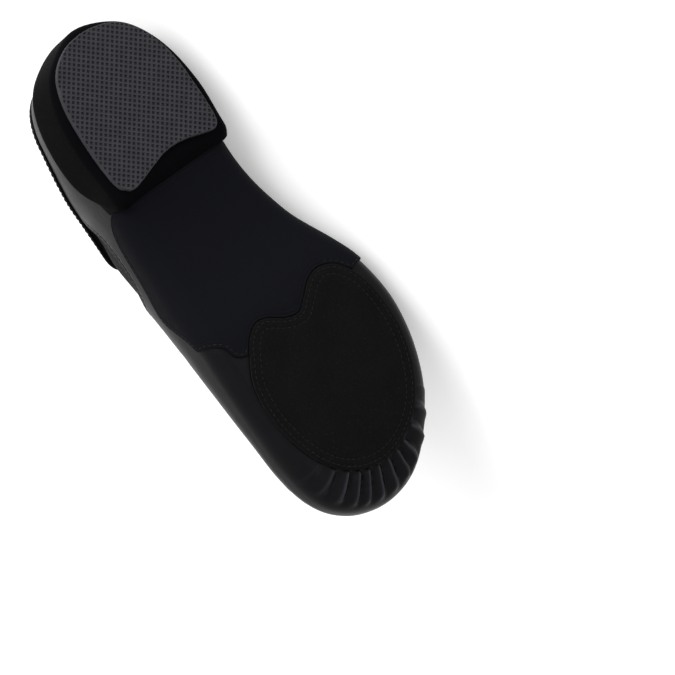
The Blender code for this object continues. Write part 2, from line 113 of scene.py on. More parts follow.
# Seams: distance from the edge, depth of the groove that the thread lies in, half its width
PATCH_SEAMS = ((0.0016, 0.00016, 0.0004), (0.0046, 0.00022, 0.0005))
THROAT_SEAMS = ((0.0014, 0.00018, 0.0004), (0.0034, 0.00018, 0.0004))
ARCH_SEAMS = ((0.0013, 0.00020, 0.0004), (0.0030, 0.00012, 0.0004))
THREAD = 0.00020
STITCH = 0.0019
STITCH_PITCH = 0.0026
SHORTEST_RUN = 0.004

# Seam up the back of the heel: half its width, depth, how far forward it may lie
BACK_SEAM = 0.0006
BACK_SEAM_DEPTH = 0.00045
BACK_SEAM_REACH = 0.4 * HEEL_WIDTH

# How finely the tape is swept and folded, how often its line is smoothed, share of its width that
# its seam lies from the edge
TAPE_STEPS = 420
FOLD_STEPS = 10
TAPE_SMOOTHING = 6
TAPE_SEAM = 0.72

# Where the heel cup's skin thins out towards the arch fabric, as shares of the length
CUP_TAPER_START = 0.285
CUP_TAPER_END = 0.318

# Tread of the heel pad: pitch of its square pits, share of the pitch that they take, share of a
# pit that its bottom takes, depth, turn in degrees, how far its rows reach as a share of the heel's
# width, width of the plain border, where a pit inside that border is gone
TREAD_PITCH = 0.00215
TREAD_PIT = 0.66
TREAD_BOTTOM = 0.55
TREAD_DEPTH = 0.00080
TREAD_TURN = 39.5
TREAD_REACH = 0.7
TREAD_BORDER = 0.0006
TREAD_RIM = TREAD_BORDER * 0.7

# Pleats round the toe: angle of each ridge about the spine's end, in degrees, and its strength
PLEATS = (
    (74.0, 0.00), (66.0, 0.15), (53.0, 0.55), (41.0, 1.00), (31.0, 0.95), (22.5, 1.00), (13.0, 0.90),
    (2.0, 1.00), (-9.5, 1.00), (-20.0, 0.95), (-36.0, 0.90), (-53.0, 0.65), (-70.0, 0.20),
)

# Shape of the pleats: their height, how far outside the sole patch they rise, hold and end, the
# shares of the toe's height where they fade and are gone, where the valley lies between two, how
# round a crest is, how wide the painted highlight line on it is, how far they lean in degrees a metre
PLEAT_HEIGHT = 0.00145
PLEAT_RISE = 0.0016
PLEAT_HOLD = 0.0115
PLEAT_END = 0.0270
PLEAT_FULL = 0.48
PLEAT_GONE = 0.95
PLEAT_VALLEY = 0.66
PLEAT_CREST = 0.10
PLEAT_HIGHLIGHT_WIDTH = 0.22
PLEAT_LEAN = 200.0

# Share of the leather's relief that shows on its inner side
LINING_RELIEF = 0.6

# Soft creases of the leather: start and end seen from above, each as x share of the length and y
# share of the ball's width, then the lowest z, the depth and the half width
CREASES = (
    (0.585, 0.42, 0.640, 0.10, 0.020, 0.00060, 0.0030),
    (0.560, 0.34, 0.610, -0.02, 0.020, 0.00045, 0.0034),
    (0.655, 0.40, 0.700, 0.16, 0.018, 0.00040, 0.0026),
    (0.600, -0.46, 0.650, -0.16, 0.020, 0.00055, 0.0030),
    (0.655, -0.45, 0.700, -0.20, 0.018, 0.00040, 0.0028),
    (0.700, 0.10, 0.712, -0.16, 0.030, 0.00030, 0.0030),
)

# Outline of the last at its widest, from above. In a table of this kind each row is a stretch: the
# width that it follows, then its points as x share of the length and share of that width
OUTLINE = (
    (HEEL_WIDTH, (0.010, 0.030), (0.030, 0.240), (0.065, 0.395), (0.125, 0.490), (0.205, 0.520)),
    (WAIST_WIDTH, (0.285, 0.545), (0.365, 0.545), (0.445, 0.570)),
    (BALL_WIDTH, (0.525, 0.430), (0.605, 0.464), (0.690, 0.478), (0.770, 0.482), (0.845, 0.478)),
    (BALL_WIDTH, (0.905, 0.446), (0.950, 0.382), (0.980, 0.285), (0.996, 0.168), (1.000, 0.060)),
    (BALL_WIDTH, (0.992, -0.055), (0.973, -0.155), (0.939, -0.262), (0.890, -0.370)),
    (BALL_WIDTH, (0.834, -0.452), (0.772, -0.512), (0.705, -0.538), (0.635, -0.518), (0.565, -0.464)),
    (WAIST_WIDTH, (0.490, -0.600), (0.420, -0.545), (0.350, -0.508), (0.285, -0.494)),
    (HEEL_WIDTH, (0.205, -0.482), (0.125, -0.448), (0.065, -0.350), (0.030, -0.205)),
)

# Height of the last's underside: x share of the length, height
UNDERSIDE = (
    (0.00, HEEL_SEAT),
    (0.27, HEEL_SEAT),
    (0.40, ARCH_RISE),
    (0.47, 0.85 * ARCH_RISE),
    (0.62, FOREFOOT_SEAT),
    (0.83, FOREFOOT_SEAT),
    (0.93, FOREFOOT_SEAT + 0.45 * TOE_SPRING),
    (1.00, FOREFOOT_SEAT + TOE_SPRING),
)

# Flank in front of the heel pad, as shares of the length: where it starts on the centre line, how
# much further forward it starts at the sides, and where it ends
FLANK_START = 0.276
FLANK_SWEEP = 0.022
FLANK_END = 0.326

# Ridge of the last, as a height over the plane: x share of the length, height
RIDGE = (
    (0.00, 0.84 * INSTEP_HEIGHT),
    (0.13, 0.84 * INSTEP_HEIGHT),
    (0.20, 0.93 * INSTEP_HEIGHT),
    (0.27, 1.00 * INSTEP_HEIGHT),
    (0.36, 1.01 * INSTEP_HEIGHT),
    (0.43, 0.91 * INSTEP_HEIGHT),
    (0.51, 0.725 * INSTEP_HEIGHT),
    (0.61, 1.29 * TOE_HEIGHT),
    (0.71, 1.12 * TOE_HEIGHT),
    (0.83, TOE_HEIGHT),
    (1.00, TOE_HEIGHT),
)

# How far the ridge leans to the inner side: x share of the length, share of RIDGE_SHIFT
RIDGE_LEAN = (
    (0.15, 0.0),
    (0.45, 1.0),
)

# Shape of a half section: x share of the length, then as shares of WIDEST_HEIGHT the inset of the
# under edge, the height of the lower corner and the height at the widest, then the power of the
# crown's curve
SECTION = (
    (0.00, 0.18, 0.30, 1.00, 1.6),
    (0.25, 0.20, 0.34, 1.00, 1.7),
    (0.36, 0.32, 0.50, 1.04, 2.2),
    (0.48, 0.32, 0.50, 0.94, 2.4),
    (0.62, 0.28, 0.40, 0.72, 2.2),
    (0.80, 0.30, 0.42, 0.64, 2.1),
    (1.00, 0.36, 0.40, 0.72, 2.0),
)

# How much higher that power is by the heel on the inner side, where the photo shows a straighter
# wall, the sines of the angle between which it grows and the shares of the length where it fades
HEEL_FULL = 0.55
HEEL_FULL_SIDE = (0.0, 0.7)
HEEL_FULL_ENDS = (0.24, 0.36)

# Lines drawn on the side of the shoe, as stretches: the height that it follows, then its points as
# x share of the length and share of that height
TOPLINE = (
    (COLLAR_HEIGHT, (-0.08, 1.00), (0.01, 1.00), (0.06, 0.98), (0.12, 0.94), (0.18, 0.955)),
    (INSTEP_HEIGHT, (0.24, 0.745), (0.30, 0.835), (0.355, 0.925), (0.40, 1.04)),
)
THROAT_START = 0.272
GORE_EDGE = (
    (INSTEP_HEIGHT, (THROAT_START, 0.765), (0.295, 0.70), (0.330, 0.60), (0.390, 0.56)),
    (INSTEP_HEIGHT, (0.440, 0.57), (0.475, 0.62), (0.498, 0.72), (0.510, 0.90)),
)
CUP_EDGE = (
    (CUP_HEIGHT, (-0.08, 1.00), (0.11, 1.00), (0.19, 1.02), (0.24, 0.95)),
    (CUP_HEIGHT, (0.275, 0.73), (0.292, 0.52), (0.308, 0.34), (0.322, 0.10)),
)
ARCH_EDGE = (
    (ARCH_PANEL_HEIGHT, (0.300, 0.47), (0.316, 0.74), (0.345, 0.93), (0.395, 1.01), (0.470, 1.00)),
    (ARCH_PANEL_HEIGHT, (0.512, 0.90), (0.545, 0.66), (0.572, 0.46), (0.600, 0.36), (0.660, 0.34)),
)

# Lines drawn on the sole, seen from below, as stretches like those of the outline
ARCH_FRONT = (
    (BALL_WIDTH, (0.570, 0.60), (0.590, 0.47), (0.611, 0.40), (0.650, 0.29)),
    (BALL_WIDTH, (0.650, -0.35), (0.630, -0.42), (0.622, -0.60)),
)
PATCH = (
    (BALL_WIDTH, (0.652, 0.315), (0.628, 0.265), (0.611, 0.195), (0.613, 0.125), (0.632, 0.040)),
    (BALL_WIDTH, (0.638, -0.040), (0.622, -0.105), (0.600, -0.190), (0.594, -0.270), (0.608, -0.355)),
    (BALL_WIDTH, (0.650, -0.425), (0.710, -0.446), (0.770, -0.428), (0.830, -0.368), (0.885, -0.265)),
    (BALL_WIDTH, (0.920, -0.130), (0.934, 0.010), (0.928, 0.140), (0.905, 0.255), (0.865, 0.345)),
    (BALL_WIDTH, (0.810, 0.398), (0.750, 0.412), (0.695, 0.385)),
)
PAD = (
    (HEEL_WIDTH, (0.018, 0.080), (0.028, 0.235), (0.058, 0.380), (0.110, 0.463), (0.180, 0.496)),
    (HEEL_WIDTH, (0.245, 0.498), (0.281, 0.475), (0.295, 0.405), (0.291, 0.310), (0.281, 0.180)),
    (HEEL_WIDTH, (0.273, 0.060), (0.272, -0.060), (0.277, -0.170), (0.285, -0.280), (0.288, -0.360)),
    (HEEL_WIDTH, (0.270, -0.408), (0.205, -0.426), (0.140, -0.422), (0.080, -0.360)),
    (HEEL_WIDTH, (0.040, -0.240), (0.022, -0.085)),
)

# Camera: how far it is turned from straight below to the inner side, its roll, its distance, the
# width that it takes in and the point of the shoe that it looks at
VIEW_TILT = 26.0
VIEW_ROLL = 54.0
VIEW_DISTANCE = 3.0
VIEW_WIDTH = 0.2923
VIEW_TARGET = (0.1762, -0.0088, -0.0043)
SENSOR = 36.0

# Light: strength of the white room and of the lit floor, half the floor's width, and distance,
# sizes and powers in watts of the two soft lamps
ROOM_LIGHT = 0.80
FLOOR_GLOW = 0.34
FLOOR_HALF = 6.0
LAMP_DISTANCE = 1.8
KEY_SIZE = 1.0
KEY_POWER = 15.0
FRONT_SIZE = 0.7
FRONT_POWER = 6.0


# Curves and lines

def blend(rows, x, column=1):
    """Value of a table's column at x, on a smooth curve that stays level between equal rows."""
    xs = [row[0] for row in rows]
    ys = [row[column] for row in rows]
    if x <= xs[0]:
        return ys[0]
    if x >= xs[-1]:
        return ys[-1]
    slopes = [(ys[i + 1] - ys[i]) / (xs[i + 1] - xs[i]) for i in range(len(xs) - 1)]
    tangents = [0.0] * len(xs)
    for i in range(1, len(xs) - 1):
        before, after = slopes[i - 1], slopes[i]
        if before * after > 0.0:
            tangents[i] = 2.0 * before * after / (before + after)
    i = max(k for k in range(len(xs) - 1) if xs[k] <= x)
    step = xs[i + 1] - xs[i]
    t = (x - xs[i]) / step
    start = ys[i] * (1 + 2 * t) * (1 - t) ** 2 + tangents[i] * step * t * (1 - t) ** 2
    end = ys[i + 1] * t * t * (3 - 2 * t) + tangents[i + 1] * step * t * t * (t - 1)
    return start + end


def numbered(line, i, closed):
    """A line's point by its number: a closed line goes round, an open one stops at its ends."""
    return line[i % len(line) if closed else min(max(i, 0), len(line) - 1)]


def rounded(points, closed):
    """Points on a smooth curve through the given ones."""
    curve = []
    for i in range(len(points) if closed else len(points) - 1):
        a, b, c, d = (numbered(points, k, closed) for k in range(i - 1, i + 3))
        for step in range(CURVE_STEPS):
            t = step / CURVE_STEPS
            bend = 2 * a - 5 * b + 4 * c - d + t * (3 * (b - c) + d - a)
            curve.append(b + 0.5 * t * (c - a + t * bend))
    if not closed:
        curve.append(points[-1])
    return curve


def drawn(table, closed=False):
    """Smooth curve through the points of a table of stretches."""
    spots = [Vector((x * LENGTH, share * size)) for size, *points in table for x, share in points]
    return rounded(spots, closed)


def shifted(line, distance, closed=False):
    """A line moved square to itself: a closed one outwards, one that runs forward downwards."""
    area = sum(a.x * b.y - b.x * a.y for a, b in zip(line[-1:] + line, line))
    side = -1.0 if closed and area <= 0.0 else 1.0
    moved = []
    for i, point in enumerate(line):
        along = (numbered(line, i + 1, closed) - numbered(line, i - 1, closed)).normalized()
        moved.append(point + side * distance * Vector((along.y, -along.x)))
    return moved


def enclosed(line, x=None, y=None):
    """The outline between an open line and a far x or y."""
    ends = (line[-1], line[0])
    return line + [Vector((end.x if x is None else x, end.y if y is None else y)) for end in ends]


def smooth(x, low, high):
    """Rises smoothly from 0 at low to 1 at high, for numbers and arrays."""
    t = np.clip((x - low) / (high - low), 0.0, 1.0)
    return t * t * (3 - 2 * t)


# The last

OUTLINE_CURVE = drawn(OUTLINE, closed=True)
PATCH_CURVE = drawn(PATCH, closed=True)


def reach(centre, angle):
    """Distance from a point of the spine to the outline of the last."""
    ray = Vector((math.cos(angle), math.sin(angle)))
    best = 0.0
    for i, end in enumerate(OUTLINE_CURVE):
        start = OUTLINE_CURVE[i - 1]
        edge = end - start
        cross = ray.x * edge.y - ray.y * edge.x
        if abs(cross) < 1e-12:
            continue
        offset = start - centre
        far = (offset.x * edge.y - offset.y * edge.x) / cross
        share = (offset.x * ray.y - offset.y * ray.x) / cross
        if 0.0 <= share <= 1.0 and far > best:
            best = far
    return best


def columns():
    """Spine point and direction of each half section, once round the shoe."""
    start, end = SPINE_START * LENGTH, SPINE_END * LENGTH
    along = [start + (end - start) * i / SPINE_STEPS for i in range(SPINE_STEPS + 1)]
    inner = [(x, math.pi / 2) for x in along]
    toe = [(end, math.pi / 2 - math.pi * i / TOE_STEPS) for i in range(1, TOE_STEPS)]
    outer = [(x, -math.pi / 2) for x in reversed(along)]
    heel = [(start, -math.pi / 2 - math.pi * i / HEEL_STEPS) for i in range(1, HEEL_STEPS)]
    return inner + toe + outer + heel


def last_underside(x, y):
    return blend(UNDERSIDE, x / LENGTH)


def heel_underside(x, y):
    """Level over the heel pad, then a flank that climbs to the arch behind a swept front edge."""
    level = CUP_BASE + GAP + CUP_WALL
    start = FLANK_START + FLANK_SWEEP * (2 * y / HEEL_WIDTH) ** 2
    t = min(max((x / LENGTH - start) / (FLANK_END - start), 0.0), 1.0)
    return level + (blend(UNDERSIDE, FLANK_END) + GAP - level) * t * t * (3 - 2 * t)


def half_section(spine_x, angle, underside):
    """Points of one half section, from the spine under the foot, round the side, to the ridge."""
    ray = Vector((math.cos(angle), math.sin(angle), 0.0))
    width = reach(Vector((spine_x, 0.0)), angle)
    share = (spine_x + width * math.cos(angle)) / LENGTH
    inset, corner, widest = (blend(SECTION, share, column) * WIDEST_HEIGHT for column in (1, 2, 3))
    if underside is heel_underside:
        inset *= HEEL_CORNER
        corner *= HEEL_CORNER
    full = smooth(math.sin(angle), *HEEL_FULL_SIDE) * (1.0 - smooth(share, *HEEL_FULL_ENDS))
    power = 2.0 / (blend(SECTION, share, 4) + HEEL_FULL * full)
    top = blend(RIDGE, spine_x / LENGTH)
    shift = RIDGE_SHIFT * blend(RIDGE_LEAN, spine_x / LENGTH)
    points = []
    for row in range(UNDER_STEPS + 1):
        spot = Vector((spine_x, 0.0, 0.0)) + ray * (width - inset) * row / UNDER_STEPS
        spot.z = underside(spot.x, spot.y)
        points.append(spot)
    base = points[-1].z
    for i in range(1, CORNER_STEPS + 1):
        turn = math.pi / 2 * i / CORNER_STEPS
        spot = Vector((spine_x, 0.0, base + corner * (1 - math.cos(turn))))
        points.append(spot + ray * (width - inset + inset * math.sin(turn)))
    widest = max(widest, base + corner + CROWN_CLEAR)
    for i in range(CROWN_STEPS + 1):
        turn = math.pi / 2 * i / CROWN_STEPS
        lift = math.sin(turn) ** power
        out = width * math.cos(turn) ** power if i < CROWN_STEPS else 0.0
        spot = Vector((spine_x, shift * lift * lift, widest + (top - widest) * lift))
        points.append(spot + ray * out)
    return points


def welded(spots):
    """Which points to keep so that none is double, and the faces between a closed grid's columns."""
    flat = spots.reshape(-1, 3)
    _, first, merge = np.unique(np.round(flat / SMALL), axis=0, return_index=True, return_inverse=True)
    index = merge.reshape(spots.shape[:2])
    faces = []
    for left, right in zip(np.roll(index, 1, axis=0), index):
        for corners in zip(left, right, right[1:], left[1:]):
            face = tuple(dict.fromkeys(int(k) for k in corners))
            if len(face) > 2:
                faces.append(face)
    return first, faces


class Form:
    """The closed form of the last as arrays: points, normals and faces."""

    def __init__(self, underside, shared=None):
        grid = np.array([half_section(x, angle, underside) for x, angle in columns()])
        self.first, self.faces = (shared.first, shared.faces) if shared else welded(grid)
        self.points = grid.reshape(-1, 3)[self.first]
        self.normals = self.corner_normals()

    def skin(self, distance):
        """Points that far out of the form: one distance for all of them, or an array."""
        return self.points + self.normals * np.reshape(distance, (-1, 1))

    def corner_normals(self):
        """Normals out of the form, as wide faces weigh more."""
        total = np.zeros(self.points.shape)
        for size in (3, 4):
            faces = np.array([face for face in self.faces if len(face) == size])
            spots = self.points[faces]
            cross = np.cross(spots[:, 2] - spots[:, 0], spots[:, size - 1] - spots[:, 1])
            for corner in range(size):
                np.add.at(total, faces[:, corner], cross)
        total /= np.maximum(np.linalg.norm(total, axis=1, keepdims=True), SMALL ** 2)
        outward = np.sum(total * (self.points - self.points.mean(axis=0)))
        return total if outward > 0 else -total


# Fields: signed distance over the surface to a line, positive on the side that is kept

def field(form, outline, plane):
    """Distance of a form's points inside a closed outline drawn on the side (0, 2) or sole (0, 1)."""
    flat = form.points[:, plane]
    corners = np.array([(p.x, p.y) for p in outline])
    nearest = np.full(len(flat), FAR)
    away = np.zeros(flat.shape)
    inside = np.zeros(len(flat), bool)
    for start, end in zip(corners, np.roll(corners, -1, axis=0)):
        edge = end - start
        offset = flat - start
        share = np.clip(offset @ edge / max(edge @ edge, SMALL ** 2), 0.0, 1.0)
        gap = offset - share[:, None] * edge
        distance = np.linalg.norm(gap, axis=1)
        closer = distance < nearest
        nearest[closer] = distance[closer]
        away[closer] = gap[closer]
        crossing = (start[1] > flat[:, 1]) != (end[1] > flat[:, 1])
        rise = edge[1] if abs(edge[1]) > 0.0 else 1.0
        inside ^= crossing & (flat[:, 0] < edge[0] * (flat[:, 1] - start[1]) / rise + start[0])
    facing = np.sum(away * form.normals[:, plane], axis=1) / np.maximum(nearest, SMALL)
    slope = np.sqrt(np.clip(1.0 - facing ** 2, 0.12, 1.0))
    return np.where(inside, nearest, -nearest) / slope


SIDE = [0, 2]
SOLE = [0, 1]
LAST = Form(last_underside)
CUP_FORM = Form(heel_underside, LAST)
LOW = LAST.points[:, 2] < SOLE_LEVEL
COLLAR = [point for point in drawn(TOPLINE) if point.x < THROAT_START * LENGTH - GAP]
THROAT = -field(LAST, enclosed(COLLAR + drawn(GORE_EDGE), y=FAR), SIDE)
OPENING = -field(LAST, enclosed(drawn(TOPLINE), y=FAR), SIDE)
ON_PATCH = np.where(LOW, field(LAST, PATCH_CURVE, SOLE), -FAR)


# Cutting sheets

class Sheet:
    """Two skins over the same faces, cut where a field turns negative and split along its lines."""

    def __init__(self, form, outer, inner, depth, lines=(), seams=(), crest=None):
        self.bm = bmesh.new()
        self.inner = self.bm.verts.layers.float_vector.new("inner")
        self.depth = self.bm.verts.layers.float.new("depth")
        # crest carries how strongly a highlight is painted on the leather along the pleats' crests
        self.crest = self.bm.verts.layers.float.new("crest")
        outer, inner = outer.tolist(), inner.tolist()
        crest = np.zeros(len(outer)) if crest is None else crest
        kept = depth > 0.0
        made = {}
        for face in form.faces:
            if not any(kept[k] for k in face):
                continue
            for k in face:
                if k not in made:
                    vert = self.bm.verts.new(outer[k])
                    vert[self.inner] = inner[k]
                    vert[self.depth] = depth[k]
                    vert[self.crest] = crest[k]
                    made[k] = vert
            self.bm.faces.new([made[k] for k in face])
        beside = [level + side for level, _, half in seams for side in (-half, 0.0, half)]
        for line in sorted({0.0, *lines, *beside}):
            self.split(lambda vert: vert[self.depth] - line)
        lost = [face for face in self.bm.faces if min(v[self.depth] for v in face.verts) < -SMALL]
        bmesh.ops.delete(self.bm, geom=lost, context="FACES")
        for level, deep, half in seams:
            self.press(lambda vert: deep * max(0.0, 1.0 - abs(vert[self.depth] - level) / half))

    def split(self, value, near=None):
        """New edges where a value of the corners changes sign."""
        on_line, crossing = [], []
        for vert in self.bm.verts:
            if abs(value(vert)) < SNAP and (near is None or near(vert.co)):
                vert[self.depth] -= value(vert) if near is None else 0.0
                on_line.append(vert)
        marked = set(on_line)
        for edge in self.bm.edges:
            a, b = edge.verts
            if a in marked or b in marked or (near is not None and not near(a.co)):
                continue
            low, high = value(a), value(b)
            if low * high < 0.0:
                crossing.append((edge, a, b, low / (low - high)))
        for edge, a, b, share in crossing:
            inner = Vector(a[self.inner]).lerp(Vector(b[self.inner]), share)
            depth = a[self.depth] + (b[self.depth] - a[self.depth]) * share
            crest = a[self.crest] + (b[self.crest] - a[self.crest]) * share
            _, vert = bmesh.utils.edge_split(edge, a, share)
            vert[self.inner], vert[self.depth], vert[self.crest] = inner, depth, crest
            on_line.append(vert)
        bmesh.ops.connect_verts(self.bm, verts=on_line)

    def press(self, shape):
        """Moves the outer skin in along the line to the inner one: shape gives metres for a corner."""
        for vert in self.bm.verts:
            through = vert.co - Vector(vert[self.inner])
            vert.co -= through.normalized() * shape(vert)

    def back_seam(self, floor):
        """A groove up the middle of the heel's back, from a height on."""
        near = lambda point: point.x < BACK_SEAM_REACH and point.z > floor
        for side in (-BACK_SEAM, 0.0, BACK_SEAM):
            self.split(lambda vert: vert.co.y - side, near)
        self.press(lambda vert: BACK_SEAM_DEPTH * max(0.0, 1.0 - abs(vert.co.y) / BACK_SEAM)
                   if near(vert.co) else 0.0)

    def runs(self, level, wanted=lambda point: True):
        """Ordered corners on a line of the field, with normals, for thread that follows the line."""
        links = {}
        for edge in self.bm.edges:
            a, b = edge.verts
            if all(abs(v[self.depth] - level) < SMALL * 10 and wanted(v.co) for v in (a, b)):
                links.setdefault(a, []).append(b)
                links.setdefault(b, []).append(a)
        found = []
        while links:
            start = next((v for v in links if len(links[v]) == 1), next(iter(links)))
            run, near = [start], links.pop(start)
            while True:
                following = [v for v in near if v in links]
                if not following:
                    break
                run.append(following[0])
                near = links.pop(following[0])
            if len(run) > 2 and start in near:
                run.append(start)
            length = sum((b.co - a.co).length for a, b in zip(run, run[1:]))
            if length > SHORTEST_RUN:
                found.append([(v.co.copy(), (v.co - Vector(v[self.inner])).normalized()) for v in run])
        return found

    def shell(self, name, rim, finishes, rim_share=0.45, inner_finish=0, wall_finish=0):
        """The closed piece: both skins and the wall round their edges, which are rounded outside."""
        points, inner_points = [], []
        crests = [vert[self.crest] for vert in self.bm.verts]
        for index, vert in enumerate(self.bm.verts):
            vert.index = index
            low = Vector(vert[self.inner])
            t = 1.0 - min(max(vert[self.depth], 0.0) / rim, 1.0)
            share = 1.0 - (1.0 - rim_share) * (1.0 - math.sqrt(1.0 - t * t))
            points.append(low.lerp(vert.co, share))
            inner_points.append(low)
        count = len(points)
        faces, kinds = [], []
        for face in self.bm.faces:
            corners = [v.index for v in face.verts]
            faces.append(corners)
            kinds.append(0)
            faces.append([k + count for k in reversed(corners)])
            kinds.append(inner_finish)
            for loop in face.loops:
                if loop.edge.is_boundary:
                    a, b = loop.vert.index, loop.link_loop_next.vert.index
                    faces.append([b, a, a + count, b + count])
                    kinds.append(wall_finish)
        self.bm.free()
        mesh = mesh_of(name, points + inner_points, faces, finishes, kinds)
        # The crest attribute is the mask of the highlight painted on the pleats' crests
        mesh.attributes.new("crest", "FLOAT", "POINT").data.foreach_set("value", crests + [0.0] * count)
        return place(name, mesh)


def ring_faces(first, rings, size, closed=False):
    """Faces between rings of points that follow one another, from the first point's number on."""
    found = []
    for ring in range(rings if closed else rings - 1):
        low, high = first + ring * size, first + (ring + 1) % rings * size
        for k in range(size):
            after = (k + 1) % size
            found.append([low + k, low + after, high + after, high + k])
    return found


def mesh_of(name, points, faces, finishes, kinds=None):
    """A smooth mesh with its normals out of it."""
    mesh = bpy.data.meshes.new(name)
    mesh.from_pydata([tuple(p) for p in points], [], faces)
    for finish in finishes:
        mesh.materials.append(finish)
    if kinds is not None:
        mesh.polygons.foreach_set("material_index", kinds)
    bm = bmesh.new()
    bm.from_mesh(mesh)
    if bm.calc_volume(signed=True) < 0.0:
        bmesh.ops.reverse_faces(bm, faces=bm.faces)
    bm.to_mesh(mesh)
    bm.free()
    mesh.shade_smooth()
    mesh.set_sharp_from_angle(angle=math.radians(SHARP_ANGLE))
    return mesh


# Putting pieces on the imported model

def shoe_matrix():
    """Where the shoe's own frame lies: the two faces it stands on are mounts of the record."""
    mounts = {mount["name"]: mount for mount in frame["record"]["mounts"]}
    heel = Vector(mounts["heel_rest"]["pos_m"])
    forefoot = Vector(mounts["forefoot_rest"]["pos_m"])
    up = -Vector(mounts["heel_rest"]["axis"]).normalized()
    heel_own = Vector((HEEL_REST[0] * LENGTH, HEEL_REST[1], 0.0))
    forefoot_own = Vector((FOREFOOT_REST[0] * LENGTH, FOREFOOT_REST[1], 0.0))
    own = forefoot_own - heel_own
    line = (forefoot - heel).normalized()
    across = up.cross(line)
    turn = math.atan2(own.y, own.x)
    forward = line * math.cos(turn) - across * math.sin(turn)
    inward = up.cross(forward)
    matrix = Matrix((forward, inward, up)).transposed().to_4x4()
    matrix.translation = heel - matrix.to_3x3() @ heel_own
    return matrix


SHOE = shoe_matrix()


def add_object(name, data):
    item = bpy.data.objects.new(name, data)
    bpy.context.scene.collection.objects.link(item)
    return item


def place(name, mesh):
    mesh.transform(SHOE)
    return add_object(name, mesh)


def settle(item, slot, *nodes):
    """The piece rides on the shoe's one body and stands for its solids, which are hidden."""
    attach(item, "root")
    if nodes:
        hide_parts(*nodes)
    return item


# Thread

# Rings of one stitch: place as a share of its length, radius as a share of the thread's
STITCH_RINGS = ((-0.50, 0.30), (-0.44, 0.75), (-0.25, 1.0), (0.25, 1.0), (0.44, 0.75), (0.50, 0.30))
STITCH_SIDES = 6
STITCH_DIP = 3.2


def line_arrays(run):
    """Points and normals of a line, and how far along it each of them lies."""
    spots, normals = (np.array([tuple(vector) for vector in column]) for column in zip(*run))
    return spots, normals, np.append(0.0, np.cumsum(np.linalg.norm(np.diff(spots, axis=0), axis=1)))


def at_places(places, steps, values):
    """Values of a line's points at places along it."""
    return np.column_stack([np.interp(places, steps, values[:, k]) for k in range(3)])


def stitches(name, runs, finish, slot, bury=0.25):
    """Thread along lines: one capsule a stitch, whose ends dip into the surface."""
    points, faces = [], []
    for run in runs:
        spots, normals, steps = line_arrays(run)
        count = max(int(steps[-1] / STITCH_PITCH), 1)
        for i in range(count):
            place_on_line = (i + 0.5) * steps[-1] / count
            ends = [place_on_line - STITCH / 2, place_on_line, place_on_line + STITCH / 2]
            start, middle, end = (Vector(spot) for spot in at_places(ends, steps, spots).tolist())
            normal = Vector(at_places([place_on_line], steps, normals)[0].tolist()).normalized()
            along = (end - start).normalized()
            across = normal.cross(along)
            faces += ring_faces(len(points), len(STITCH_RINGS), STITCH_SIDES)
            faces.append([len(points) + k for k in reversed(range(STITCH_SIDES))])
            for share, size in STITCH_RINGS:
                centre = middle + along * share * STITCH
                centre += normal * THREAD * (1.0 - bury - STITCH_DIP * share * share)
                for k in range(STITCH_SIDES):
                    turn = 2 * math.pi * k / STITCH_SIDES
                    out = across * math.cos(turn) + normal * math.sin(turn)
                    points.append(centre + out * THREAD * size)
            faces.append([len(points) - STITCH_SIDES + k for k in range(STITCH_SIDES)])
    return settle(place(name, mesh_of(name, points, faces, [finish])), slot)


# Finishes

